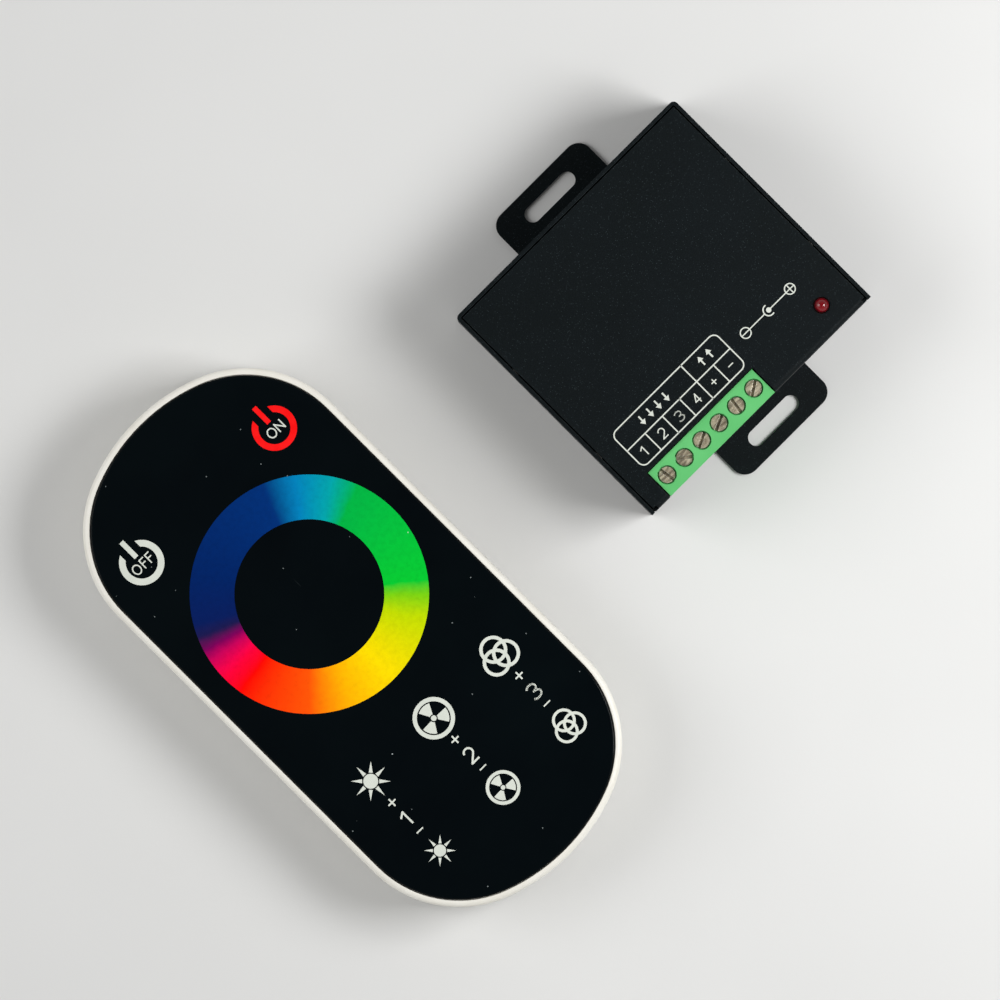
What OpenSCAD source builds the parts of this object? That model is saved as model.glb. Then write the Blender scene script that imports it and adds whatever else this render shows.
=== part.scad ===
// Two-piece LED strip controller: a folded sheet-metal receiver box and a hand-held touch remote.
// Both lie on the plane z = 0 with their fronts up. +X runs along their widths, +Y towards their backs.

/* [Kit layout] */
// Distance between the centres of the remote and the receiver along X
unit_spacing = 94.1; // [90:0.1:140]
// How far the receiver's centre lies behind the remote's centre
receiver_shift = 2.9; // [0:0.1:20]

/* [Receiver box] */
// Width of the box along X
box_w = 64.1; // [63:0.1:80]
// Depth of the box along Y, without its ears
box_d = 57.9; // [56:0.1:75]
// Height of the box
box_h = 25; // [24.5:0.5:32]
// Thickness of the folded sheet
sheet_t = 0.8; // [0.7:0.1:1]
// Outside radius of the tray's two upright back bends
corner_r = 1.1; // [1.1:0.1:2]
// Clearance between the cover and the tray's walls
cover_gap = 0.3; // [0.2:0.05:0.4]
// Outside radius of the cover's front bend
bend_r = 1.2; // [1.2:0.1:2.5]
// Side of the relief notch at each front corner of the cover
relief = 0.9; // [0.6:0.1:1.4]
// Height of the cover's two side tabs
tab_h = 7; // [6:0.5:8]
// Length of the cover's two side tabs
tab_len = 34; // [30:1:40]

/* [Mounting ears] */
// Width of an ear
ear_w = 26.3; // [24:0.1:40]
// How far an ear stands out from the box
ear_len = 8.8; // [8.6:0.2:14]
// Radius of an ear's outer corners
ear_r = 3.2; // [3:0.1:6]
// End-to-end length of the slot in an ear
slot_len = 13.6; // [10:0.1:16]
// Width of the slot in an ear
slot_w = 3.5; // [3:0.1:4]
// Distance from the box wall to the middle of the slot
slot_out = 4.1; // [3.6:0.1:4.4]

/* [Terminal block] */
// Distance between neighbouring terminals
pitch = 5.08; // [5:0.01:5.2]
// Least distance from the box's sides to the block and to the lamp
side_room = 3; // [2.8:0.1:3.2]
// Depth of the block's tall front part
block_top_d = 6.8; // [6.6:0.1:7.5]
// Depth of the block's foot on the circuit board
block_d = 9; // [8.6:0.1:11]
// How far the block's top lies below the cover's top
block_drop = 0.5; // [0.2:0.1:0.8]
// Clearance between the block and the notch in the cover
notch_gap = 0.3; // [0.2:0.05:0.5]
// Distance from the block's front to the screws' axes
screw_front = 3.7; // [3.5:0.05:3.8]
// Diameter of a terminal screw's head
head_d = 3.4; // [3.2:0.1:3.6]
// Height of a terminal screw's head
head_t = 1.5; // [1.3:0.05:1.7]
// Depth of a screw's head below the block's top
head_drop = 0.6; // [0.2:0.1:0.7]
// Width of the driver slot
driver_w = 0.7; // [0.5:0.1:0.9]
// Depth of the driver slot
driver_d = 0.9; // [0.6:0.1:1.1]
// Diameter of a terminal screw's thread
thread_d = 2.4; // [2:0.1:2.5]
// Distance that a clamp moves for one turn of its screw
thread_lead = 0.45; // [0.4:0.05:0.5]
// Turns of a screw from clamped to open
open_turns = 5; // [3.5:0.25:5]
// Width of a wire entry
entry_w = 3.6; // [3:0.1:3.8]
// Height of a wire entry
entry_h = 3.9; // [3.6:0.1:4.2]

/* [Power jack and lamp] */
// Least gap between the block, the jack and the lamp
front_gap = 1.01; // [0.8:0.01:1.2]
// Width of the jack
jack_w = 9; // [8:0.5:10]
// Depth of the jack
jack_d = 14; // [12:0.5:15]
// Height of the jack
jack_h = 11; // [10:0.5:11.5]
// Diameter of the jack's mouth
jack_bore = 6.3; // [5.5:0.1:6.8]
// Diameter of the jack's centre pin
jack_pin = 2.1; // [1.6:0.1:2.5]
// Depth of the jack's mouth
jack_deep = 9.5; // [8:0.5:10]
// Distance from the box's front to the lamp's axis
lamp_front = 6; // [4:0.1:8]
// Diameter of the indicator lamp
lamp_d = 3; // [2.5:0.1:4]
// How far the lamp's dome stands above the cover
lamp_up = 1.7; // [1.2:0.1:2]

/* [Circuit board] */
// Thickness of the receiver's circuit board
board_t = 1.6; // [1:0.1:2]
// Height of the stand-offs below the board
standoff_h = 7.2; // [6:0.1:7.5]
// Diameter of a stand-off
standoff_d = 5; // [4.6:0.1:6]
// Width of a power transistor
fet_w = 10.2; // [9:0.1:10.5]
// Length of a power transistor's moulded body
fet_body = 9.1; // [8:0.1:9.5]
// Length of a power transistor's metal tab, with the part under the body
fet_tab = 15.6; // [15:0.1:16]
// Thickness of the heat spreader
spreader_t = 2; // [1.5:0.1:3]
// Diameter of a reservoir capacitor
cap_d = 8; // [6:0.5:8]
// Height of a reservoir capacitor
cap_h = 11.5; // [9:0.5:12]

/* [Remote] */
// Width of the remote
remote_w = 62.8; // [62:0.2:70]
// Length of the remote
remote_l = 127.6; // [126:0.1:140]
// Thickness of the remote
remote_h = 18; // [17.8:0.1:20]
// How much larger the outline's end arcs are than its corner arcs
arc_step = 17.5; // [16:0.5:19]
// Wall thickness of the remote's shells
shell_t = 2; // [1.8:0.1:2.2]
// Thickness of the rear shell's floor
floor_t = 2; // [2:0.1:2.3]
// Height of the seam between the front frame and the rear shell
seam_z = 8; // [7:0.1:8.5]
// Width of the shadow line at the seam
seam_gap = 0.15; // [0.1:0.05:0.3]
// Height of the rear shell's lip inside the front frame
lip_h = 1.2; // [0.8:0.1:1.5]
// Radius of the rear shell's rounded bottom edge
bottom_r = 5; // [4.5:0.1:6]
// Radius of the front frame's rounded top edge
frame_r = 1.1; // [0.8:0.1:1.2]
// Width of the frame's rim around the touch panel
rim_w = 1.35; // [1.3:0.05:2]
// Width of the ledge that carries the touch panel
ledge_w = 1.2; // [1:0.1:1.5]
// Thickness of the ledge
ledge_t = 1; // [0.8:0.1:1]
// Thickness of the touch panel
panel_t = 1.6; // [1.2:0.1:1.8]
// How far the panel lies below the frame's top
panel_drop = 0.3; // [0.1:0.1:0.5]
// Clearance around the touch panel
panel_gap = 0.2; // [0.1:0.05:0.3]
// Thickness of the touch circuit board
touch_t = 1; // [0.8:0.1:1]

/* [Battery bay] */
// Diameter of a battery cell
cell_d = 10.5; // [10:0.1:10.5]
// Length of a battery cell with its terminal
cell_len = 44.5; // [43:0.1:45]
// Clearance between neighbouring cells
cell_gap = 0.4; // [0.3:0.05:0.5]
// Distance from the remote's lower end to the bay
bay_up = 12.15; // [12:0.05:13]
// Space for a contact at each end of the cells
contact_room = 2; // [1.8:0.1:2.2]
// Thickness of the contact strip
strip_t = 0.3; // [0.2:0.05:0.4]
// Wall thickness of the battery bay
bay_t = 1.2; // [1:0.1:1.3]
// Clearance between the battery door and the shell
door_gap = 0.15; // [0.1:0.05:0.2]
// How far the door's side tongues reach into their grooves
tongue_w = 1.1; // [0.8:0.1:1.3]
// Thickness of the door's side tongues
tongue_t = 0.8; // [0.6:0.1:0.8]

/* [Hidden] */
$fn = 64;
// How far a cut runs past the face that it opens
over = 1;
// Number of terminals
ways = 6;
// Number of battery cells
cells = 3;
// Radial clearance of a turning screw in its hole
run_gap = 0.07;
// Clearance between fixed pieces that nearly touch
fit_gap = 0.05;
// Free space around a moving clamp
slide_gap = 0.2;
// Free space around a screw's head or the lamp
head_gap = 0.3;
// Space between the board and the sheet around it
board_gap = 1;

// Places of the two units: together their box is centred on the origin
remote_x = (remote_w - box_w) / 4 - unit_spacing / 2;
receiver_x = remote_x + unit_spacing;

// The box's front, and the half width and back edge of the cover
front_y = -box_d / 2;
cover_half = box_w / 2 - sheet_t - cover_gap;
cover_back = box_d / 2 - sheet_t - cover_gap;

// The board's size and levels
board_z = sheet_t + standoff_h;
board_top = board_z + board_t;
board_w = box_w - 2 * (sheet_t + board_gap);
board_d = box_d - 2 * (sheet_t + board_gap);
standoff_shares = [[-0.87, 0.84], [0.87, 0.84], [-0.87, -0.46], [0.87, -0.46]];
foot_d = 4;

// The terminal block's outer faces
block_w = ways * pitch;
// The width that the block, the jack and the lamp leave free, and how the row shares it out
row_free = box_w - block_w - jack_w - lamp_d - 2 * (side_room + front_gap);
row_shares = [0.186, 0.407, 0.113];
block_x = -box_w / 2 + side_room + row_shares[0] * row_free;
block_front = front_y + 0.1 * sheet_t;
block_top = box_h - block_drop;
step_drop = 4;
notch_d = block_top_d + notch_gap;

// The terminal screws: the head rests on a web above the clamp's well
screw_y = block_front + screw_front;
head_top = block_top - head_drop;
head_seat = head_top - head_t;
head_show = 0.5;
web_t = 0.8;
web_top = head_seat - fit_gap;
web_bottom = web_top - web_t;
driver_angles = [99, 142, 26, 24, 82, 33];

// The clamps at rest, at the top of their travel
clamp_w = 4;
clamp_d = 3.8;
clamp_h = 6.6;
clamp_wall = 1.3;
clamp_side = 0.6;
clamp_rise = 0.3;
clamp_z = web_bottom - clamp_rise - clamp_h;
clamp_travel = thread_lead * open_turns;
well_z = clamp_z - clamp_travel - clamp_rise;

// The contact bars, each inside its clamp's window, and their legs through the board
bar_w = clamp_w - 2 * clamp_side - 2 * slide_gap;
bar_t = 0.8;
bar_z = clamp_z + clamp_wall + fit_gap;
bar_top = bar_z + bar_t;
leg_w = 1;
leg_t = 0.8;
leg_y = block_front + block_d - 2 * leg_t;
entry_z = bar_top + fit_gap - entry_h;

// The power jack
jack_x = block_x + block_w + front_gap + row_shares[1] * row_free + jack_w / 2;
jack_z = board_top + jack_h * 0.57;
jack_front = block_front;
jack_pin_in = 1;
jack_tail_w = 2;
jack_tail_t = 0.6;
jack_tail_shares = [0.45, 0.9];

// The indicator lamp
lamp_x = jack_x + jack_w / 2 + front_gap + row_shares[2] * row_free + lamp_d / 2;
lamp_y = front_y + lamp_front;
lamp_tall = 5.3;
lamp_z = box_h + lamp_up - lamp_tall;
lamp_rim = 0.4;
lamp_rim_h = 1;

// Wires and pins that go through the board
lead_t = 0.5;
lead_pitch = 2.54;
lead_down = 2;
lead_hole = 1;
leg_hole = 1.6;

// The power transistors on their heat spreader
fet_shares = [-0.36, 0.06, 0.48];
fet_back = 3.5;
fet_tab_t = 1.3;
fet_body_t = 3.2;
fet_hole = 3.7;
fet_hole_in = 2.9;
fet_lead_w = 0.8;
fet_lead_up = 2;
fet_lead_out = 3;
fet_lead_y = board_d / 2 - fet_back - fet_tab - fet_lead_out;
spreader_w = 36;
spreader_back = 1.5;

// Capacitors, chips and crystal on the board
cap_share = 0.82;
cap_gap = 0.7;
cap_lead_pitch = 3.5;
chip_share = [0.12, -0.28];
chip_size = [9.9, 3.9, 1.5];
chip_pins = 8;
regulator_share = [0.5, -0.2];
regulator_size = [6.6, 6.1, 2.3];
crystal_share = [-0.3, -0.24];
crystal_size = [11.4, 4.7, 3.5];

// The radio module: a small board on a row of pins, with a chip, a can and an antenna
radio_share = -0.78;
radio_size = [10, 22, 1];
radio_x = radio_share * board_w / 2;
radio_y = (standoff_shares[0][1] + standoff_shares[2][1]) / 2 * board_d / 2;
radio_lift = 2.5;
radio_z = board_top + radio_lift;
radio_top = radio_z + radio_size[2];
radio_pin_count = 4;
radio_pitch = 2.3;
radio_row_y = radio_y - radio_size[1] / 2 + radio_pitch / 2;
radio_chip_size = [5, 4, 1.5];
radio_can_d = 5;
radio_can_h = 3;
antenna_d = 1;
antenna_run = 10;
antenna_bend = 3;

// Fasteners of the receiver
side_screw_d = 2;
side_screw_head = 3.6;
side_screw_len = 3;
side_screw_drop = 4;
side_screw_share = 0.36;
board_screw_d = 2.5;
board_screw_head = 5;
board_screw_head_t = 1.8;
board_screw_len = 5;
fet_screw_d = 2.9;
fet_screw_head = 5.5;
fet_screw_head_t = 2;
recess_w_share = 0.25;
recess_d_share = 0.45;

// The remote's outline: corner arcs that meet the straight sides and the end arcs smoothly.
// The line through both centres, and through the point where the arcs meet, has these shares of x and y.
join_shares = [0.352, 0.936];
join_angle = acos(join_shares[0]);
corner_cx = arc_step * join_shares[0];
corner_arc_r = remote_w / 2 - corner_cx;
end_arc_r = corner_arc_r + arc_step;
end_cy = remote_l / 2 - end_arc_r;
corner_cy = end_cy + arc_step * join_shares[1];

// The remote's levels
panel_top = remote_h - panel_drop;
ledge_z = panel_top - panel_t;
touch_z = ledge_z - touch_t;
frame_z = seam_z + seam_gap;
lip_in = shell_t / 2;
lip_gap = 0.15;
board_edge = rim_w + ledge_w + head_gap;

// The battery bay, its door and the door's track
bay_half = (cells * cell_d + (cells + 1) * cell_gap) / 2;
bay_len = cell_len + 2 * contact_room;
bay_end_y = -remote_l / 2 + bay_up;
bay_top_y = bay_end_y + bay_len;
cell_z = floor_t + cell_gap / 2 + cell_d / 2;
bay_roof = cell_z + cell_d / 2 + cell_gap / 2;
track_side = 4;
track_t = 1.6;
door_half = bay_half + 1.9;
door_top_y = bay_top_y + bay_t + 0.3;
tongue_z = floor_t - tongue_t - door_gap;
grip_count = 5;
grip_w = 0.8;
grip_deep = 0.4;
grip_len = 16;
grip_share = 0.12;

// The cells' buttons and the contacts
button_d = 3.8;
button_h = 1.3;
contact_w = 7;
tail_w = 3;

// The screws that hold the remote's shells together, in posts inside the corner arcs
post_inset = 4.4;
post_angle = 30;
post_d = 6;
shell_screw_d = 1.9;
shell_screw_head = 4;
shell_screw_head_t = 1.6;
shell_screw_len = 8;
post_hole = 5;
well_d = 4.6;
well_deep = 4.5;

// Chips under the touch board
touch_chip_share = [0, 0.3];
touch_chip_size = [10, 5.3, 1.6];
touch_chip_pins = 12;
sender_share = [-0.4, 0.5];
sender_size = [5, 5, 1];
sender_pins = 4;
remote_crystal_share = [0.35, 0.5];
remote_crystal_size = [5, 3.2, 1];

// Colours
black_paint = [0.05, 0.08, 0.1];
steel = [0.62, 0.6, 0.56];
brass = [0.78, 0.62, 0.3];
board_green = [0.05, 0.32, 0.14];
block_green = [0.41, 0.84, 0.48];
black_plastic = [0.08, 0.08, 0.09];
silver = [0.75, 0.76, 0.78];
red_lens = [0.7, 0.05, 0.1];
ivory = [0.88, 0.87, 0.83];
panel_black = [0.02, 0.04, 0.06];
copper = [0.72, 0.42, 0.25];
cell_blue = [0.2, 0.3, 0.45];
can_grey = [0.25, 0.25, 0.3];

// The axis of terminal i, counted from 0 at the left
function way_x(i) = block_x + (i + 0.5) * pitch;

// The middle of cell i, counted from 0 at the left
function cell_x(i) = (i - (cells - 1) / 2) * (cell_d + cell_gap);

// Places on the main board where something goes through it
standoff_places = [for (share = standoff_shares) [share[0] * board_w / 2, share[1] * board_d / 2]];
contact_places = [for (i = [0:ways - 1]) [way_x(i), leg_y + leg_t / 2]];
lamp_places = [for (side = [-1, 1]) [lamp_x + side * lead_pitch / 2, lamp_y]];
fet_places = [for (share = fet_shares, k = [-1, 0, 1]) [share * board_w / 2 + k * lead_pitch, fet_lead_y]];
cap_ys = [for (i = [0, 1]) standoff_shares[3][1] * board_d / 2
  + board_screw_head / 2 + (i + 0.5) * cap_d + (i + 1) * cap_gap];
cap_places = [for (y = cap_ys, side = [-1, 1]) [cap_share * board_w / 2, y + side * cap_lead_pitch / 2]];
jack_places = [for (share = jack_tail_shares) [jack_x, jack_front + share * jack_d]];
radio_places = [for (i = [0:radio_pin_count - 1])
  [radio_x + (i - (radio_pin_count - 1) / 2) * radio_pitch, radio_row_y]];

// Places a piece of the receiver
module at_receiver() {
  translate([receiver_x, receiver_shift, 0]) children();
}

// Places a piece of the remote
module at_remote() {
  translate([remote_x, 0, 0]) children();
}

// Repeats a piece at a list of places, at height z
module at_places(places, z) {
  for (place = places) translate([place[0], place[1], z]) children();
}

// Places a piece on the main board by shares of the board's half width and half depth
module on_board(share) {
  translate([share[0] * board_w / 2, share[1] * board_d / 2, board_top]) children();
}

// Places a piece under the touch board by shares of the remote's half width and half length
module under_touch(share) {
  translate([share[0] * remote_w / 2, share[1] * remote_l / 2, touch_z]) mirror([0, 0, 1]) children();
}

// A block centred on x = 0 and y = 0, standing on z = 0
module block(size) {
  translate([-size[0] / 2, -size[1] / 2, 0]) cube(size);
}

// A quarter ring that joins two walls at a bend
module bend(r, t, h) {
  rotate_extrude(angle = 90) translate([r - t, 0]) square([t, h]);
}

// A bar with round ends along X
module round_bar(length, width, h) {
  straight = length - width;
  union() {
    block([straight, width, h]);
    for (side = [-1, 1]) translate([side * straight / 2, 0, 0]) cylinder(d = width, h = h);
  }
}

// A pan-head screw that points down from the plane z = 0, with a cross recess
module pan_screw(d, length, head, head_h) {
  difference() {
    union() {
      cylinder(d = head, h = head_h);
      translate([0, 0, -length]) cylinder(d = d, h = length + head_h / 2);
    }
    for (turn = [0, 90]) rotate(turn) translate([0, 0, head_h * (1 - recess_d_share)])
      block([d, d * recess_w_share, head_h]);
  }
}

// A flat chip with legs along both long sides, standing on z = 0
module legged_chip(size, pins) {
  leg_pitch = size[0] / pins;
  lift = 0.1 * size[2];
  leg = [0.4 * leg_pitch, 0.4 * size[1], 0.4 * size[2]];
  union() {
    translate([0, 0, lift]) block([size[0], size[1], size[2] - lift]);
    for (i = [0:pins - 1], side = [-1, 1])
      translate([(i + 0.5) * leg_pitch - size[0] / 2, side * size[1] / 2, 0]) block(leg);
  }
}

// An ear that grows along +Y from the wall, with its slot
module ear() {
  difference() {
    union() {
      translate([-ear_w / 2, 0, 0]) cube([ear_w, ear_len - ear_r, sheet_t]);
      translate([ear_r - ear_w / 2, 0, 0]) cube([ear_w - 2 * ear_r, ear_len, sheet_t]);
      for (turn = [0, 1]) mirror([turn, 0, 0])
        translate([ear_w / 2 - ear_r, ear_len - ear_r, 0]) bend(ear_r, ear_r, sheet_t);
    }
    translate([0, slot_out, -over]) round_bar(slot_len, slot_w, sheet_t + 2 * over);
  }
}

// The four screw places on the tray's sides: z points inwards from the outer face
module at_side_screws() {
  for (turn = [0, 1], end = [-1, 1]) mirror([turn, 0, 0])
    translate([box_w / 2, end * tab_len * side_screw_share, box_h - side_screw_drop])
      rotate([0, -90, 0]) children();
}

// Floor, two ears and the left, right and back walls, folded from one sheet
module base_tray() color(black_paint) at_receiver() difference() {
  union() {
    translate([-box_w / 2, front_y, 0]) cube([box_w, box_d - corner_r, sheet_t]);
    translate([corner_r - box_w / 2, front_y, 0]) cube([box_w - 2 * corner_r, box_d, sheet_t]);
    translate([corner_r - box_w / 2, box_d / 2 - sheet_t, 0])
      cube([box_w - 2 * corner_r, sheet_t, box_h]);
    for (turn = [0, 1]) mirror([turn, 0, 0]) {
      translate([box_w / 2 - sheet_t, front_y, 0]) cube([sheet_t, box_d - corner_r, box_h]);
      translate([box_w / 2 - corner_r, box_d / 2 - corner_r, 0]) {
        bend(corner_r, sheet_t, box_h);
        bend(corner_r, corner_r, sheet_t);
      }
    }
    translate([0, box_d / 2, 0]) ear();
    mirror([0, 1, 0]) translate([0, box_d / 2, 0]) ear();
  }
  at_places(standoff_places, -over) cylinder(d = foot_d, h = sheet_t + 2 * over);
  at_side_screws() {
    cylinder(d1 = side_screw_head, d2 = side_screw_d + 2 * fit_gap, h = sheet_t);
    translate([0, 0, -over]) cylinder(d = side_screw_d + 2 * fit_gap, h = sheet_t + 2 * over);
  }
}

// The cover's front bend, run along the box's width
module cover_bend() {
  translate([cover_half, front_y + bend_r, box_h - bend_r]) rotate([0, -90, 0])
    linear_extrude(2 * cover_half) intersection() {
      difference() {
        circle(r = bend_r);
        circle(r = bend_r - sheet_t);
      }
      mirror([0, 1]) square(2 * bend_r);
    }
}

// Top plate with its front bent down, a notch for the terminals and openings for the jack and the lamp
module top_cover() color(black_paint) at_receiver() difference() {
  union() {
    translate([-cover_half, front_y + bend_r, box_h - sheet_t])
      cube([2 * cover_half, cover_back - front_y - bend_r, sheet_t]);
    translate([-cover_half, front_y, sheet_t + cover_gap])
      cube([2 * cover_half, sheet_t, box_h - bend_r - sheet_t - cover_gap]);
    cover_bend();
    for (turn = [0, 1]) mirror([turn, 0, 0])
      translate([cover_half - sheet_t, -tab_len / 2, box_h - tab_h])
        cube([sheet_t, tab_len, tab_h - sheet_t / 2]);
  }
  translate([block_x - notch_gap, front_y - over, board_top - notch_gap])
    cube([block_w + 2 * notch_gap, notch_d + over, box_h]);
  translate([jack_x - jack_w / 2 - notch_gap, front_y - over, board_top - notch_gap])
    cube([jack_w + 2 * notch_gap, sheet_t + 2 * over, jack_h + 2 * notch_gap]);
  for (turn = [0, 1]) mirror([turn, 0, 0])
    translate([cover_half - relief, front_y - over, box_h - 2 * bend_r])
      cube([relief + over, relief + over, 2 * bend_r + over]);
  translate([lamp_x, lamp_y, box_h - sheet_t - over])
    cylinder(d = lamp_d + 2 * head_gap, h = sheet_t + 2 * over);
  at_side_screws() translate([0, 0, sheet_t])
    cylinder(d = side_screw_d + 2 * fit_gap, h = 2 * sheet_t + 2 * cover_gap);
}

// Countersunk screws that hold the cover's tabs
module cover_screws() color(steel) at_receiver() at_side_screws() translate([0, 0, fit_gap]) difference() {
  union() {
    cylinder(d1 = side_screw_head - 4 * fit_gap, d2 = side_screw_d, h = sheet_t - 2 * fit_gap);
    cylinder(d = side_screw_d, h = side_screw_len);
  }
  for (turn = [0, 90]) rotate(turn) translate([0, 0, -over])
    block([side_screw_d, side_screw_d * recess_w_share, over + sheet_t * recess_d_share]);
}

// Round stand-offs pressed into the floor
module board_standoffs() color(brass) at_receiver() at_places(standoff_places, 0) difference() {
  union() {
    translate([0, 0, sheet_t]) cylinder(d = standoff_d, h = standoff_h);
    cylinder(d = foot_d - 2 * fit_gap, h = 2 * sheet_t);
  }
  translate([0, 0, -over])
    cylinder(d = board_screw_d + 2 * fit_gap, h = sheet_t + standoff_h + 2 * over);
}

// Screws from the board into the stand-offs
module board_screws() color(steel) at_receiver() at_places(standoff_places, board_top)
  pan_screw(board_screw_d, board_screw_len, board_screw_head, board_screw_head_t);

// Round holes through the main board
module board_holes(places, d) {
  at_places(places, board_z - over) cylinder(d = d, h = board_t + 2 * over);
}

// The receiver's circuit board
module main_board() color(board_green) at_receiver() difference() {
  translate([0, 0, board_z]) block([board_w, board_d, board_t]);
  board_holes(standoff_places, board_screw_d + 2 * fit_gap);
  board_holes(contact_places, leg_hole);
  board_holes(fet_places, leg_hole);
  board_holes(lamp_places, lead_hole);
  board_holes(cap_places, lead_hole);
  board_holes(jack_places, jack_tail_w + 2 * slide_gap);
}

// Moulded block with a clamp well, a wire entry and a screw hole for each terminal
module terminal_housing() color(block_green) at_receiver() difference() {
  entry_run = screw_front - clamp_d / 2;
  bar_run = leg_y + leg_t - screw_y;
  union() {
    translate([block_x, block_front, board_top])
      cube([block_w, block_top_d, block_top - board_top]);
    translate([block_x, block_front, board_top])
      cube([block_w, block_d, block_top - step_drop - board_top]);
  }
  for (i = [0:ways - 1]) translate([way_x(i), 0, 0]) {
    translate([0, screw_y, well_z])
      block([clamp_w + 2 * slide_gap, clamp_d + 2 * slide_gap, web_bottom - well_z]);
    translate([-entry_w / 2, block_front - over, entry_z])
      cube([entry_w, entry_run + over, entry_h]);
    translate([0, screw_y, head_top - head_show]) cylinder(d = head_d + 2 * head_gap, h = block_top);
    translate([0, screw_y, web_top]) cylinder(d = head_d + 2 * run_gap, h = head_t);
    translate([0, screw_y, web_bottom - over])
      cylinder(d = thread_d + 2 * run_gap, h = web_t + 2 * over);
    translate([-bar_w / 2 - fit_gap, screw_y, bar_z - fit_gap])
      cube([bar_w + 2 * fit_gap, bar_run + fit_gap, bar_t + 2 * fit_gap]);
    translate([-leg_w / 2 - fit_gap, leg_y - fit_gap, board_top - over])
      cube([leg_w + 2 * fit_gap, leg_t + 2 * fit_gap, bar_z - board_top + over]);
  }
}

// Contact bars: each runs out of its clamp's window and down through the board
module terminal_contacts() color(silver) at_receiver() {
  bar_y = screw_y - clamp_d / 2;
  for (i = [0:ways - 1]) translate([way_x(i), 0, 0]) union() {
    translate([-bar_w / 2, bar_y, bar_z]) cube([bar_w, leg_y + leg_t - bar_y, bar_t]);
    translate([-leg_w / 2, leg_y, board_z - lead_down])
      cube([leg_w, leg_t, bar_top - board_z + lead_down]);
  }
}

// A slotted screw that turns in place and lifts or lowers its clamp
module terminal_screw(i) color(steel) at_receiver() translate([way_x(i), screw_y, 0]) difference() {
  tip = bar_top + clamp_rise;
  union() {
    translate([0, 0, head_seat]) cylinder(d = head_d, h = head_t);
    translate([0, 0, tip]) cylinder(d = thread_d, h = head_seat + head_t / 2 - tip);
  }
  rotate(driver_angles[i]) translate([0, 0, head_top - driver_d])
    block([2 * head_d, driver_w, driver_d + over]);
}

// A box clamp with a window for the wire and a hole for the screw
module terminal_clamp(i) color(silver) at_receiver() translate([way_x(i), screw_y, clamp_z]) difference() {
  block([clamp_w, clamp_d, clamp_h]);
  translate([0, 0, clamp_wall])
    block([clamp_w - 2 * clamp_side, clamp_d + 2 * over, clamp_h - 2 * clamp_wall]);
  translate([0, 0, clamp_h - clamp_wall - over])
    cylinder(d = thread_d + 2 * run_gap, h = clamp_wall + 2 * over);
}

// Socket body of the power jack
module jack_housing() color(black_plastic) at_receiver() difference() {
  translate([jack_x, jack_front + jack_d / 2, board_top]) block([jack_w, jack_d, jack_h]);
  translate([jack_x, jack_front - over, jack_z]) rotate([-90, 0, 0])
    cylinder(d = jack_bore, h = jack_deep + over);
  translate([jack_x, jack_front, jack_z]) rotate([-90, 0, 0])
    cylinder(d = jack_pin + 2 * fit_gap, h = jack_d + over);
  at_places(jack_places, board_top - over)
    block([jack_tail_w + 2 * fit_gap, jack_tail_t + 2 * fit_gap, jack_z - board_top + over]);
}

// Centre pin of the jack, with its tail through the board
module jack_pin_contact() color(silver) at_receiver() union() {
  tail = jack_places[1];
  translate([jack_x, jack_front + jack_pin_in, jack_z]) rotate([-90, 0, 0])
    cylinder(d = jack_pin, h = tail[1] + jack_tail_t / 2 - jack_front - jack_pin_in);
  translate([tail[0], tail[1], board_z - lead_down])
    block([jack_tail_w, jack_tail_t, jack_z - jack_pin / 4 - board_z + lead_down]);
}

// Contact that touches the plug's sleeve from below
module jack_sleeve_contact() color(silver) at_receiver() {
  tail = jack_places[0];
  sleeve_top = jack_z - jack_bore / 2 + fit_gap;
  translate([tail[0], tail[1], board_z - lead_down])
    block([jack_tail_w, jack_tail_t, sleeve_top - board_z + lead_down]);
}

// Domed lens of the indicator lamp
module lamp_lens() color(red_lens) at_receiver() translate([lamp_x, lamp_y, lamp_z]) union() {
  cylinder(d = lamp_d, h = lamp_tall - lamp_d / 2);
  translate([0, 0, lamp_tall - lamp_d / 2]) sphere(d = lamp_d);
  cylinder(d = lamp_d + 2 * lamp_rim, h = lamp_rim_h);
}

// The lamp's two wires down through the board
module lamp_leads() color(silver) at_receiver() at_places(lamp_places, board_z - lead_down)
  cylinder(d = lead_t, h = lamp_z - board_z + lead_down);

// Repeats a piece for each transistor: the origin is the middle of the tab's back edge, on the spreader
module at_transistors() {
  for (share = fet_shares)
    translate([share * board_w / 2, board_d / 2 - fet_back, board_top + spreader_t]) children();
}

// Moulded bodies of the three power transistors
module transistor_bodies() color(black_plastic) at_receiver() at_transistors()
  translate([0, fet_body / 2 - fet_tab, fet_tab_t]) block([fet_w, fet_body, fet_body_t]);

// Metal tabs of the transistors
module transistor_tabs() color(silver) at_receiver() at_transistors() difference() {
  translate([0, -fet_tab / 2, 0]) block([fet_w, fet_tab, fet_tab_t]);
  translate([0, -fet_hole_in, -over]) cylinder(d = fet_hole, h = fet_tab_t + 2 * over);
}

// Three bent leads for each transistor
module transistor_leads() color(silver) at_receiver() at_transistors() {
  bottom = -spreader_t - board_t - lead_down;
  for (k = [-1, 0, 1]) translate([k * lead_pitch, -fet_tab - fet_lead_out, 0]) union() {
    translate([-fet_lead_w / 2, -lead_t / 2, fet_lead_up])
      cube([fet_lead_w, fet_lead_out + lead_t / 2, lead_t]);
    translate([0, 0, bottom]) block([fet_lead_w, lead_t, fet_lead_up + lead_t - bottom]);
  }
}

// Screws that press the transistors onto the spreader
module transistor_screws() color(steel) at_receiver() at_transistors()
  translate([0, -fet_hole_in, fet_tab_t])
    pan_screw(fet_screw_d, fet_tab_t + spreader_t - fit_gap, fet_screw_head, fet_screw_head_t);

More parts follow.
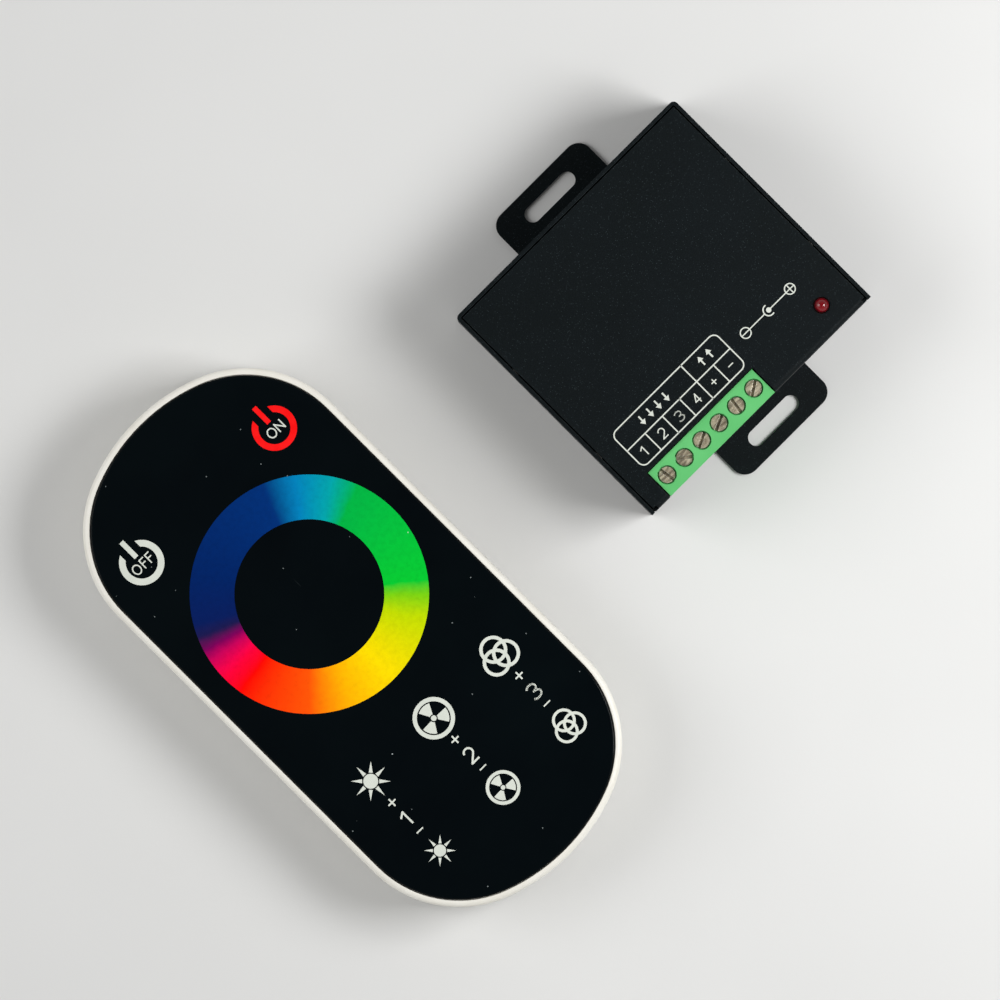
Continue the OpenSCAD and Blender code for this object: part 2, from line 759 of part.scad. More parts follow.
// Aluminium plate between the transistors and the board
module heat_spreader() color(silver) at_receiver() difference() {
  depth = fet_tab + fet_back - spreader_back;
  translate([fet_shares[1] * board_w / 2, (board_d - depth) / 2 - spreader_back, board_top])
    block([spreader_w, depth, spreader_t]);
  for (share = fet_shares)
    translate([share * board_w / 2, board_d / 2 - fet_back - fet_hole_in, board_top - over])
      cylinder(d = fet_screw_d + 2 * fit_gap, h = spreader_t + 2 * over);
}

// Two reservoir capacitors standing on the board, with their leads
module capacitors() color(can_grey) at_receiver()
  for (y = cap_ys) translate([cap_share * board_w / 2, y, board_top]) union() {
    cylinder(d = cap_d, h = cap_h);
    for (side = [-1, 1]) translate([0, side * cap_lead_pitch / 2, -board_t - lead_down])
      cylinder(d = lead_t, h = board_t + lead_down + fit_gap);
  }

// The chip that makes the dimming pulses
module control_chip() color(black_plastic) at_receiver() on_board(chip_share)
  legged_chip(chip_size, chip_pins);

// The small regulator that feeds the chips, with its soldered tab
module voltage_regulator() color(black_plastic) at_receiver() on_board(regulator_share) union() {
  block(regulator_size);
  translate([0, regulator_size[1] / 2, 0]) block([0.8 * regulator_size[0], 0.3 * regulator_size[1],
    0.2 * regulator_size[2]]);
}

// The clock crystal in its oval can
module crystal_can() color(silver) at_receiver() on_board(crystal_share)
  round_bar(crystal_size[0], crystal_size[1], crystal_size[2]);

// The radio module's own small board
module radio_board() color(board_green) at_receiver() difference() {
  translate([radio_x, radio_y, radio_z]) block(radio_size);
  at_places(radio_places, radio_z - over) cylinder(d = lead_hole, h = radio_size[2] + 2 * over);
}

// Plastic strip that carries the radio board
module radio_pin_strip() color(black_plastic) at_receiver() difference() {
  translate([radio_x, radio_row_y, board_top])
    block([radio_pin_count * radio_pitch, radio_pitch, radio_lift]);
  at_places(radio_places, board_top - over)
    cylinder(d = lead_t + 2 * fit_gap, h = radio_lift + 2 * over);
}

// Pins in the strip
module radio_pins() color(silver) at_receiver() at_places(radio_places, board_top)
  cylinder(d = lead_t, h = radio_lift + radio_size[2] + lead_t);

// The radio module's chip
module radio_chip() color(black_plastic) at_receiver()
  translate([radio_x, radio_y - radio_size[1] / 8, radio_top]) legged_chip(radio_chip_size, radio_pin_count);

// The radio module's filter can
module radio_can() color(silver) at_receiver()
  translate([radio_x, radio_y + radio_size[1] / 6, radio_top]) cylinder(d = radio_can_d, h = radio_can_h);

// A stiff wire that stands up from the radio board and bends along the box
module antenna_wire() color(copper) at_receiver()
  translate([radio_x - radio_size[0] / 2 + 2 * antenna_d, radio_y + radio_size[1] / 2 - 2 * antenna_d,
    radio_top]) mirror([0, 1, 0]) union() {
    cylinder(d = antenna_d, h = antenna_bend);
    translate([0, antenna_bend, antenna_bend]) rotate([90, 0, -90])
      rotate_extrude(angle = 90) translate([antenna_bend, 0]) circle(d = antenna_d);
    translate([0, antenna_bend, 2 * antenna_bend]) rotate([-90, 0, 0])
      cylinder(d = antenna_d, h = antenna_run);
  }

// Puts a profile along the four corner arcs
module on_corners() {
  for (turn = [0, 1], end = [0, 1]) mirror([turn, 0, 0]) mirror([0, end, 0])
    translate([corner_cx, corner_cy, 0]) rotate_extrude(angle = join_angle) children();
}

// Puts a profile along the two end arcs, each swept from its middle to both joins
module on_ends() {
  for (turn = [0, 1], end = [0, 1]) mirror([turn, 0, 0]) mirror([0, end, 0]) translate([0, end_cy, 0])
    rotate([0, 0, 90]) mirror([0, 1, 0]) rotate_extrude(angle = 90 - join_angle) children();
}

// Puts a profile along the two straight sides, at a distance from the middle
module on_sides(reach) {
  for (turn = [0, 1]) mirror([turn, 0, 0]) translate([reach, corner_cy, 0])
    rotate([90, 0, 0]) linear_extrude(2 * corner_cy) children();
}

// Runs a flat profile round the remote's outline. The profile's x = 0 lies on the outline, and -x is inwards.
module around() {
  on_sides(remote_w / 2) children();
  on_corners() translate([corner_arc_r, 0]) children();
  on_ends() translate([end_arc_r, 0]) children();
}

// Moves a profile out by reach and keeps what lies beyond x = 0
module beyond(reach) {
  intersection() {
    translate([reach, 0]) children();
    translate([0, -over]) square([reach + over, remote_h + 2 * over]);
  }
}

// Block that takes away what lies past the line where the arcs meet
module past_join() {
  rotate(join_angle) translate([0, 0, -over]) cube([remote_w, remote_w, remote_h + 2 * over]);
}

// Block that takes away what lies before that line
module before_join() {
  rotate(join_angle) mirror([0, 1, 0]) translate([0, 0, -over])
    cube([remote_w, remote_w, remote_h + 2 * over]);
}

// Fills the four corners with a profile that reaches in to their arcs' centres
module fill_corners() {
  for (turn = [0, 1], end = [0, 1]) mirror([turn, 0, 0]) mirror([0, end, 0])
    translate([corner_cx, corner_cy, 0]) difference() {
      rotate_extrude(angle = 90) children();
      past_join();
    }
}

// Fills the two ends in the same way
module fill_ends() {
  for (end = [0, 1]) mirror([0, end, 0]) translate([0, end_cy, 0]) difference() {
    rotate_extrude(angle = 180) children();
    before_join();
    mirror([1, 0, 0]) before_join();
  }
}

// Fills the remote's outline with a profile that reaches in to the middle
module filled() {
  on_sides(0) beyond(remote_w / 2) children();
  fill_corners() beyond(corner_arc_r) children();
  fill_ends() beyond(end_arc_r) children();
}

// A quarter disc in the quadrant of x > 0 and y > 0
module quarter_disc(r) {
  intersection() {
    circle(r = r);
    square(2 * r);
  }
}

// Profile of a filled form between z = low and z = high whose bottom edge is rounded
module dish_profile(inset, r, low, high) {
  union() {
    translate([-remote_l, low]) square([remote_l - inset - r, high - low]);
    translate([-inset - r, low + r]) square([r, high - low - r]);
    translate([-inset - r, low + r]) mirror([0, 1]) quarter_disc(r);
  }
}

// Profile of the front frame: skirt, wall, rounded rim and the ledge for the panel
module frame_profile() {
  ledge_in = rim_w + ledge_w;
  skirt = lip_in - lip_gap;
  union() {
    polygon([
      [0, frame_z], [0, remote_h - frame_r], [-frame_r, remote_h - frame_r], [-frame_r, remote_h],
      [-rim_w, remote_h], [-rim_w, ledge_z], [-ledge_in, ledge_z], [-ledge_in, touch_z],
      [-shell_t, touch_z], [-shell_t, frame_z + lip_h], [-skirt, frame_z + lip_h], [-skirt, frame_z]
    ]);
    translate([-frame_r, remote_h - frame_r]) quarter_disc(frame_r);
  }
}

// Profile of the rear shell: floor, rounded edge, wall and lip
module shell_profile() {
  union() {
    difference() {
      dish_profile(0, bottom_r, 0, seam_z);
      dish_profile(shell_t, bottom_r - shell_t, floor_t, seam_z + over);
    }
    translate([-shell_t, seam_z]) square([shell_t - lip_in, lip_h]);
  }
}

// The places of the four shell screws
module at_posts() {
  reach = corner_arc_r - post_inset;
  for (turn = [0, 1], end = [0, 1]) mirror([turn, 0, 0]) mirror([0, end, 0])
    translate([corner_cx + reach * cos(post_angle), corner_cy + reach * sin(post_angle), 0]) children();
}

// White frame of the remote, with a ledge for the panel and four screw posts
module front_frame() color(ivory) at_remote() difference() {
  union() {
    around() frame_profile();
    at_posts() translate([0, 0, frame_z + lip_h]) cylinder(d = post_d, h = touch_z - frame_z - lip_h);
  }
  at_posts() translate([0, 0, frame_z]) cylinder(d = shell_screw_d + 2 * fit_gap, h = lip_h + post_hole);
}

// Glossy panel that is touched, set in the frame
module touch_panel() color(panel_black) at_remote() filled() {
  edge = rim_w + panel_gap;
  polygon([
    [-remote_l, ledge_z], [-edge, ledge_z], [-edge, panel_top - panel_gap],
    [-edge - panel_gap, panel_top], [-remote_l, panel_top]
  ]);
}

// Circuit board behind the panel, inside the ledge
module touch_board() color(board_green) at_remote() filled()
  translate([-remote_l, touch_z]) square([remote_l - board_edge, touch_t]);

// The chip that reads the touch pads
module touch_chip() color(black_plastic) at_remote() under_touch(touch_chip_share)
  legged_chip(touch_chip_size, touch_chip_pins);

// The chip that sends the radio code
module sender_chip() color(black_plastic) at_remote() under_touch(sender_share)
  legged_chip(sender_size, sender_pins);

// The sender's crystal
module remote_crystal() color(silver) at_remote() under_touch(remote_crystal_share)
  block(remote_crystal_size);

// The space that the battery door takes, wider by gap all round
module door_space(gap, end_gap) {
  top_y = door_top_y + end_gap;
  depth = top_y + remote_l / 2 + over;
  wide = door_half + tongue_w + gap;
  translate([-door_half - gap, top_y - depth, -over])
    cube([2 * (door_half + gap), depth, floor_t - door_gap + gap + over]);
  translate([-wide, top_y - depth, tongue_z - gap]) cube([2 * wide, depth, tongue_t + 2 * gap]);
}

// Rear shell: a dish with the battery bay, the door's track and four screw posts
module rear_shell() color(ivory) at_remote() difference() {
  track_half = door_half + track_side;
  union() {
    filled() shell_profile();
    intersection() {
      filled() dish_profile(0, bottom_r, 0, seam_z);
      translate([-track_half, -remote_l / 2, 0])
        cube([2 * track_half, remote_l / 2 + door_top_y + track_side, floor_t + track_t]);
    }
    translate([-bay_half - bay_t, bay_end_y - bay_t, floor_t / 2])
      cube([2 * (bay_half + bay_t), bay_len + 2 * bay_t, bay_roof + bay_t - floor_t / 2]);
    at_posts() translate([0, 0, floor_t / 2]) cylinder(d = post_d, h = seam_z + lip_h - floor_t / 2);
  }
  translate([-bay_half, bay_end_y, -over]) cube([2 * bay_half, bay_len, bay_roof + over]);
  door_space(door_gap, door_gap);
  for (flat = [true, false]) at_pole(flat) translate([-tail_w / 2 - fit_gap, -fit_gap, bay_roof - over])
    cube([tail_w + 2 * fit_gap, strip_t + 2 * fit_gap, bay_t + 2 * over]);
  at_posts() {
    translate([0, 0, -over]) cylinder(d = well_d, h = well_deep + over);
    cylinder(d = shell_screw_d + 2 * fit_gap, h = seam_z + lip_h + over);
  }
}

// Sliding battery door, cut from the rear shell's own form
module battery_door() color(ivory) at_remote() difference() {
  intersection() {
    filled() dish_profile(0, bottom_r, 0, seam_z);
    union() door_space(0, -door_gap);
  }
  for (i = [0:grip_count - 1])
    translate([0, 2 * i * grip_w - (1 - grip_share) * remote_l / 2, -over])
      block([grip_len, grip_w, over + grip_deep]);
}

// Repeats a piece at the cells' flat ends or at their buttons: neighbouring cells point opposite ways.
// y points from the bay's end wall to the cell.
module at_pole(flat) {
  for (i = [0:cells - 1]) translate([cell_x(i), (i % 2 == 0) == flat ? bay_end_y : bay_top_y, 0])
    mirror([0, (i % 2 == 0) == flat ? 0 : 1, 0]) children();
}

// A battery cell, with its button
module battery(i) color(cell_blue) at_remote() {
  up = i % 2 == 0;
  translate([cell_x(i), up ? bay_end_y + contact_room : bay_top_y - contact_room, cell_z])
    rotate([up ? -90 : 90, 0, 0]) union() {
      cylinder(d = cell_d, h = cell_len - button_h);
      cylinder(d = button_d, h = cell_len);
    }
}

// The flat strip of a contact, with its tail up to the touch board
module contact_strip() {
  translate([-contact_w / 2, 0, floor_t + cell_gap])
    cube([contact_w, strip_t, bay_roof - floor_t - 2 * cell_gap]);
  translate([-tail_w / 2, 0, bay_roof / 2]) cube([tail_w, strip_t, touch_z - bay_roof / 2]);
}

// Bent leaf contacts against the cells' flat ends
module battery_springs() color(steel) at_remote() at_pole(true) union() {
  rise = cell_d / 3;
  reach = contact_room - fit_gap;
  contact_strip();
  translate([-contact_w / 4, 0, cell_z]) rotate([90, 0, 90]) linear_extrude(contact_w / 2) polygon([
    [0, -rise], [strip_t, -rise], [reach, 0], [strip_t, rise], [0, rise],
    [0, rise - 2 * strip_t], [reach - 2 * strip_t, 0], [0, 2 * strip_t - rise]
  ]);
}

// Flat contacts, each with a raised pad against a cell's button
module battery_plates() color(steel) at_remote() at_pole(false) union() {
  contact_strip();
  translate([0, 0, cell_z]) rotate([-90, 0, 0]) cylinder(d = button_d, h = contact_room - fit_gap);
}

// Screws from below that hold the two shells together
module shell_screws() color(steel) at_remote() at_posts() translate([0, 0, well_deep])
  mirror([0, 0, 1]) pan_screw(shell_screw_d, shell_screw_len, shell_screw_head, shell_screw_head_t);

base_tray();
top_cover();
cover_screws();
board_standoffs();
main_board();
board_screws();
terminal_housing();
terminal_contacts();
terminal_screw(0);  // terminal_screw_1
terminal_screw(1);  // terminal_screw_2
terminal_screw(2);  // terminal_screw_3
terminal_screw(3);  // terminal_screw_4
terminal_screw(4);  // terminal_screw_5
terminal_screw(5);  // terminal_screw_6
terminal_clamp(0);  // terminal_clamp_1
terminal_clamp(1);  // terminal_clamp_2
terminal_clamp(2);  // terminal_clamp_3
terminal_clamp(3);  // terminal_clamp_4
terminal_clamp(4);  // terminal_clamp_5
terminal_clamp(5);  // terminal_clamp_6
jack_housing();
jack_pin_contact();
jack_sleeve_contact();
lamp_lens();
lamp_leads();
transistor_bodies();
transistor_tabs();
transistor_leads();
transistor_screws();
heat_spreader();
capacitors();
control_chip();
voltage_regulator();
crystal_can();
radio_board();
radio_pin_strip();
radio_pins();
radio_chip();
radio_can();
antenna_wire();
front_frame();
touch_panel();
touch_board();
touch_chip();
sender_chip();
remote_crystal();
rear_shell();
battery_door();
battery(0);  // battery_1
battery(1);  // battery_2
battery(2);  // battery_3
battery_springs();
battery_plates();
shell_screws();
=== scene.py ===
import math
import bpy
import bmesh
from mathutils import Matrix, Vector


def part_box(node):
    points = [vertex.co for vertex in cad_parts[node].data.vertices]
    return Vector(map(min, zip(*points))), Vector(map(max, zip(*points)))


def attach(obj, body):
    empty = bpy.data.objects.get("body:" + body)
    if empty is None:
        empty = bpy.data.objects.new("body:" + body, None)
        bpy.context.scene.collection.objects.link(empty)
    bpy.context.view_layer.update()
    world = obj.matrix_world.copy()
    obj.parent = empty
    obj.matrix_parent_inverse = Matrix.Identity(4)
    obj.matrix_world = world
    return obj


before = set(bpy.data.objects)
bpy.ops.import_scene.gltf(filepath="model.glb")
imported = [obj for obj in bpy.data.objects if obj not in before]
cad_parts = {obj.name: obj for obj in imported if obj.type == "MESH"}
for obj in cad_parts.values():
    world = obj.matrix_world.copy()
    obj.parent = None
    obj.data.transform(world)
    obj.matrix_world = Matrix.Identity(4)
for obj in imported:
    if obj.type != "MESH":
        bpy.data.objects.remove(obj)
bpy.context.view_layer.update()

MM = 0.001

# ---------------------------------------------------------------- places

# Origins and levels of the prints on the two units, in millimetres
RECEIVER = (46.725, 2.9)
REMOTE = (-47.275, 0.0)
COVER_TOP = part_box("top_cover")[1][2] / MM
PANEL_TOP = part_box("touch_panel")[1][2] / MM
INK_HIGH = 0.015
INK_DEEP = 0.01
INK_STEP = 0.0012

# The colour ring, from its own centre on the panel
RING_X, RING_Y = -0.07, 12.73
RING_INNER, RING_OUTER = 15.59, 24.9
# Its colours by angles from the camera's right, which lies 45 degrees from +X towards -Y
RING_COLOURS = [
    (-165, (6, 28, 90)), (-158, (28, 24, 76)), (-152, (120, 0, 88)), (-146, (200, 0, 88)),
    (-138, (246, 0, 70)), (-135.1, (250, 0, 56)), (-134.9, (250, 0, 56)), (-125, (254, 4, 0)),
    (-90, (254, 84, 4)), (-70, (254, 174, 0)), (-45, (248, 217, 0)), (-12, (188, 214, 0)),
    (0, (118, 203, 16)), (7, (4, 196, 48)), (66, (0, 175, 66)), (79, (0, 160, 166)),
    (97, (0, 126, 182)), (113, (0, 46, 114)), (170, (0, 34, 97)),
]
RING_START = 135

# The gold band of the battery cells, in metres along Y
CELL_MIDDLE = 0.0283
CELL_REACH = 0.03
CELL_BAND = 0.012

# ---------------------------------------------------------------- materials


def srgb(r, g, b):
    """Linear colour of an sRGB colour given from 0 to 255."""
    def linear(v):
        v /= 255
        return v / 12.92 if v <= 0.04045 else ((v + 0.055) / 1.055) ** 2.4
    return (linear(r), linear(g), linear(b), 1.0)


class Look:
    """A node material with short calls to add nodes and join them."""

    def __init__(self, name, **shader):
        self.material = bpy.data.materials.new(name)
        self.material.use_nodes = True
        self.tree = self.material.node_tree
        self.shader = self.tree.nodes["Principled BSDF"]
        for key, value in shader.items():
            self.shader.inputs[key.replace("_", " ")].default_value = value
        self.place = self.add("ShaderNodeTexCoord").outputs["Object"]

    def add(self, kind, inputs=None, **settings):
        node = self.tree.nodes.new(kind)
        for key, value in settings.items():
            setattr(node, key, value)
        for key, value in (inputs or {}).items():
            if hasattr(value, "is_output"):
                self.tree.links.new(value, node.inputs[key])
            else:
                node.inputs[key].default_value = value
        return node

    def set(self, socket, value):
        if hasattr(value, "is_output"):
            self.tree.links.new(value, self.shader.inputs[socket])
        else:
            self.shader.inputs[socket].default_value = value

    def noise(self, scale, detail=3.0, rough=0.55, place=None):
        inputs = {"Vector": place or self.place, "Scale": scale, "Detail": detail, "Roughness": rough}
        return self.add("ShaderNodeTexNoise", inputs).outputs["Fac"]

    def ramp(self, value, low, high, first=(0, 0, 0, 1), last=(1, 1, 1, 1)):
        node = self.add("ShaderNodeValToRGB", {"Fac": value})
        node.color_ramp.elements[0].position = low
        node.color_ramp.elements[1].position = high
        node.color_ramp.elements[0].color = first
        node.color_ramp.elements[1].color = last
        return node.outputs["Color"]

    def mix(self, share, first, second):
        return self.add("ShaderNodeMix", {0: share, 6: first, 7: second}, data_type="RGBA").outputs[2]

    def math(self, operation, a, b=0.0):
        return self.add("ShaderNodeMath", {0: a, 1: b}, operation=operation).outputs[0]

    def spread(self, value, low, high):
        return self.add("ShaderNodeMapRange", {"Value": value, "To Min": low, "To Max": high}).outputs["Result"]

    def stretched(self, scale, turn=(0, 0, 0)):
        inputs = {"Vector": self.place, "Scale": scale, "Rotation": turn}
        return self.add("ShaderNodeMapping", inputs).outputs[0]

    def specks(self, scale, size, share):
        """Mask of small separate dots, one in a share of the cells."""
        cells = self.add("ShaderNodeTexVoronoi", {"Vector": self.place, "Scale": scale})
        near = self.math("LESS_THAN", cells.outputs["Distance"], size)
        red = self.add("ShaderNodeSeparateColor", {"Color": cells.outputs["Color"]}).outputs[0]
        return self.math("MULTIPLY", near, self.math("LESS_THAN", red, share))

    def edges(self, radius):
        """Mask of the outer edges, where handling wears a surface; on the terminal screws it places painted
        glints.
        """
        soft = self.add("ShaderNodeBevel", {"Radius": radius}, samples=4).outputs["Normal"]
        true = self.add("ShaderNodeNewGeometry").outputs["Normal"]
        same = self.add("ShaderNodeVectorMath", {0: soft, 1: true}, operation="DOT_PRODUCT").outputs["Value"]
        return self.ramp(self.math("SUBTRACT", 1.0, same), 0.02, 0.3)

    def relief(self, height, depth, radius=0.0):
        """Joins the height to the shader's normal, over edges rounded by the radius."""
        inputs = {"Height": height, "Distance": depth, "Strength": 1.0}
        if radius:
            inputs["Normal"] = self.add("ShaderNodeBevel", {"Radius": radius}, samples=4).outputs["Normal"]
        self.set("Normal", self.add("ShaderNodeBump", inputs).outputs["Normal"])


def plain_look(name, colour, other, rough, patch, fine, depth, edge=0.0, edge_tint=None, wear=0.5,
               stretch=None, **shader):
    """A material with patches of two close colours, uneven gloss, fine relief and worn edges."""
    look = Look(name, **shader)
    place = look.stretched(stretch) if stretch else look.place
    share = look.ramp(look.noise(patch, 4.0, place=place), 0.35, 0.68)
    tone = look.mix(share, colour, other)
    gloss = look.spread(look.noise(patch * 2.7, 3.0, place=place), rough[0], rough[1])
    if edge and edge_tint:
        scuffs = look.ramp(look.noise(patch * 4, 5.0), 0.45, 0.62)
        mask = look.math("MULTIPLY", look.math("MULTIPLY", look.edges(edge), scuffs), wear)
        tone = look.mix(mask, tone, edge_tint)
    look.set("Base Color", tone)
    look.set("Roughness", gloss)
    look.relief(look.noise(fine, 3.0, place=place), depth, edge)
    return look.material


def black_paint():
    """Black powder coat: fine orange peel, with pale grains and specks painted into the colour as glints."""
    look = Look("powder_coat", Specular_IOR_Level=0.12)
    cloud = look.ramp(look.noise(70, 4.0), 0.35, 0.7)
    tone = look.mix(cloud, srgb(2, 8, 10), srgb(4, 11, 14))
    # Painted glints: fine pale grains mixed into the colour.
    glint_grain = look.ramp(look.noise(6400, 2.0), 0.54, 0.72)
    tone = look.mix(look.math("MULTIPLY", glint_grain, 0.4), tone, srgb(42, 52, 56))
    # Painted glints: sparse pale specks mixed into the colour.
    pale_specks = look.specks(4200, 0.24, 0.14)
    tone = look.mix(look.math("MULTIPLY", pale_specks, 0.42), tone, srgb(88, 100, 104))
    scuffs = look.ramp(look.noise(900, 5.0), 0.42, 0.6)
    edge_tint = look.math("MULTIPLY", look.math("MULTIPLY", look.edges(0.2 * MM), scuffs), 0.4)
    look.set("Base Color", look.mix(edge_tint, tone, srgb(84, 90, 90)))
    look.set("Roughness", look.spread(look.noise(3000, 3.0), 0.38, 0.52))
    look.relief(look.noise(3000, 3.0), 0.016 * MM, 0.2 * MM)
    return look.material


def touch_glass():
    """Glossy black panel with dust and hairline scratches."""
    look = Look("touch_gloss", Specular_IOR_Level=0.2)
    cloud = look.ramp(look.noise(45, 4.0), 0.3, 0.75)
    tone = look.mix(cloud, srgb(1, 5, 8), srgb(3, 9, 12))
    pale_specks = look.specks(420, 0.055, 0.2)
    tone = look.mix(look.math("MULTIPLY", pale_specks, 0.45), tone, srgb(170, 180, 180))
    grit = look.specks(150, 0.035, 0.22)
    tone = look.mix(look.math("MULTIPLY", grit, 0.7), tone, srgb(190, 200, 200))
    lines = look.noise(1.0, 2.0, place=look.stretched((900, 14, 1), (0, 0, math.radians(-4))))
    hair = look.ramp(lines, 0.735, 0.76)
    broken = look.ramp(look.noise(60, 3.0), 0.5, 0.62)
    tone = look.mix(look.math("MULTIPLY", look.math("MULTIPLY", hair, broken), 0.22), tone, srgb(120, 130, 132))
    look.set("Base Color", tone)
    look.set("Roughness", look.spread(look.noise(240, 4.0), 0.05, 0.12))
    look.relief(look.noise(60, 2.0), 0.004 * MM, 0.2 * MM)
    return look.material


def colour_ring():
    """Printed ring whose colour goes round by the angle about its centre."""
    look = Look("ring_print", Specular_IOR_Level=0.2)
    centre = ((REMOTE[0] + RING_X) * MM, (REMOTE[1] + RING_Y) * MM, 0)
    offset = look.add("ShaderNodeVectorMath", {0: look.place, 1: centre}, operation="SUBTRACT").outputs[0]
    parts = look.add("ShaderNodeSeparateXYZ", {0: offset}).outputs
    turn = look.math("ARCTAN2", parts["Y"], parts["X"])
    ragged = look.math("MULTIPLY", look.math("SUBTRACT", look.noise(260, 3.0), 0.5), 0.05)
    turn = look.math("ADD", turn, ragged)
    circle = {"Value": turn, "From Min": -math.pi, "From Max": math.pi}
    share = look.add("ShaderNodeMapRange", circle).outputs[0]
    ramp = look.add("ShaderNodeValToRGB", {"Fac": share})
    stops = ramp.color_ramp.elements
    placed = sorted(((angle + RING_START) % 360 / 360, srgb(*colour)) for angle, colour in RING_COLOURS)
    stops[0].position, stops[0].color = placed[0]
    stops[1].position, stops[1].color = placed[-1]
    for position, colour in placed[1:-1]:
        stops.new(position).color = colour
    ink = look.mix(look.math("MULTIPLY", look.ramp(look.noise(900, 3.0), 0.4, 0.7), 0.1),
                   ramp.outputs["Color"], (0, 0, 0, 1))
    pale_specks = look.specks(420, 0.055, 0.12)
    look.set("Base Color", look.mix(look.math("MULTIPLY", pale_specks, 0.5), ink, srgb(220, 225, 225)))
    look.set("Roughness", look.spread(look.noise(240, 4.0), 0.07, 0.16))
    look.relief(look.noise(500, 2.0), 0.002 * MM)
    return look.material


def lamp_glass():
    """Red moulded lens with faint flow marks."""
    look = Look("lamp_lens", Transmission_Weight=0.25, IOR=1.49, Coat_Weight=0.12, Coat_Roughness=0.03)
    cloud = look.ramp(look.noise(500, 3.0), 0.3, 0.7)
    look.set("Base Color", look.mix(cloud, srgb(104, 2, 12), srgb(150, 6, 22)))
    look.set("Roughness", look.spread(look.noise(900, 2.0), 0.03, 0.08))
    look.relief(look.noise(1500, 2.0), 0.004 * MM)
    return look.material


def terminal_nickel():
    """Aged nickel of the terminal screws, streaked by screwdrivers, with glints painted on the edges."""
    look = Look("terminal_nickel", Metallic=0.45, Specular_IOR_Level=0.6)
    along = look.stretched((1, 5, 1), (0, 0, math.radians(35)))
    streak = look.ramp(look.noise(300, 3.0, 0.6, along), 0.4, 0.62)
    cloud = look.ramp(look.noise(700, 4.0), 0.35, 0.7)
    tone = look.mix(cloud, srgb(190, 176, 150), srgb(220, 208, 182))
    tone = look.mix(look.math("MULTIPLY", streak, 0.8), tone, srgb(96, 84, 68))
    slant = look.stretched((1, 9, 1), (0, 0, math.radians(-50)))
    scratch = look.ramp(look.noise(1500, 2.0, 0.5, slant), 0.66, 0.72)
    tone = look.mix(look.math("MULTIPLY", scratch, 0.7), tone, srgb(244, 240, 226))
    # Painted glints: the edges are lightened almost to white.
    edge_tint = look.math("MULTIPLY", look.edges(0.14 * MM), 0.9)
    look.set("Base Color", look.mix(edge_tint, tone, srgb(250, 248, 240)))
    look.set("Roughness", look.spread(look.noise(1800, 3.0), 0.16, 0.36))
    look.relief(look.noise(2600, 3.0), 0.012 * MM, 0.12 * MM)
    return look.material


def circuit_board():
    """Solder mask over raised copper tracks."""
    look = Look("circuit_board", Specular_IOR_Level=0.5)
    grid = look.add("ShaderNodeTexVoronoi", {"Vector": look.place, "Scale": 330}, feature="F1",
                    distance="CHEBYCHEV")
    track = look.ramp(look.math("ABSOLUTE", look.math("SUBTRACT", grid.outputs["Distance"], 0.36)), 0.03, 0.06,
                      (1, 1, 1, 1), (0, 0, 0, 1))
    cloud = look.ramp(look.noise(120, 4.0), 0.35, 0.7)
    tone = look.mix(cloud, srgb(18, 84, 44), srgb(24, 98, 52))
    tone = look.mix(look.math("MULTIPLY", track, 0.55), tone, srgb(58, 132, 70))
    edge_tint = look.edges(0.2 * MM)
    look.set("Base Color", look.mix(edge_tint, tone, srgb(150, 150, 96)))
    look.set("Roughness", look.spread(look.noise(700, 3.0), 0.25, 0.42))
    look.relief(track, 0.03 * MM, 0.1 * MM)
    return look.material


def cell_jacket():
    """Printed sleeve with a gold band, and bare metal at the ends."""
    look = Look("cell_jacket", Specular_IOR_Level=0.5)
    normal = look.add("ShaderNodeNewGeometry").outputs["Normal"]
    facing = look.add("ShaderNodeSeparateXYZ", {0: normal}).outputs["Y"]
    end = look.math("GREATER_THAN", look.math("ABSOLUTE", facing), 0.7)
    across = look.add("ShaderNodeSeparateXYZ", {0: look.place}).outputs["Y"]
    band = look.ramp(look.math("PINGPONG", look.math("ADD", across, CELL_MIDDLE), CELL_REACH), 0.0, 1.0)
    band = look.math("GREATER_THAN", band, CELL_BAND)
    cloud = look.ramp(look.noise(160, 4.0), 0.3, 0.7)
    sleeve = look.mix(cloud, srgb(28, 44, 78), srgb(34, 54, 92))
    tone = look.mix(band, sleeve, srgb(176, 142, 84))
    look.set("Base Color", look.mix(end, tone, srgb(190, 188, 182)))
    look.set("Metallic", look.math("MULTIPLY", end, 0.9))
    look.set("Roughness", look.spread(look.noise(600, 3.0), 0.22, 0.4))
    look.relief(look.noise(900, 3.0), 0.006 * MM, 0.2 * MM)
    return look.material


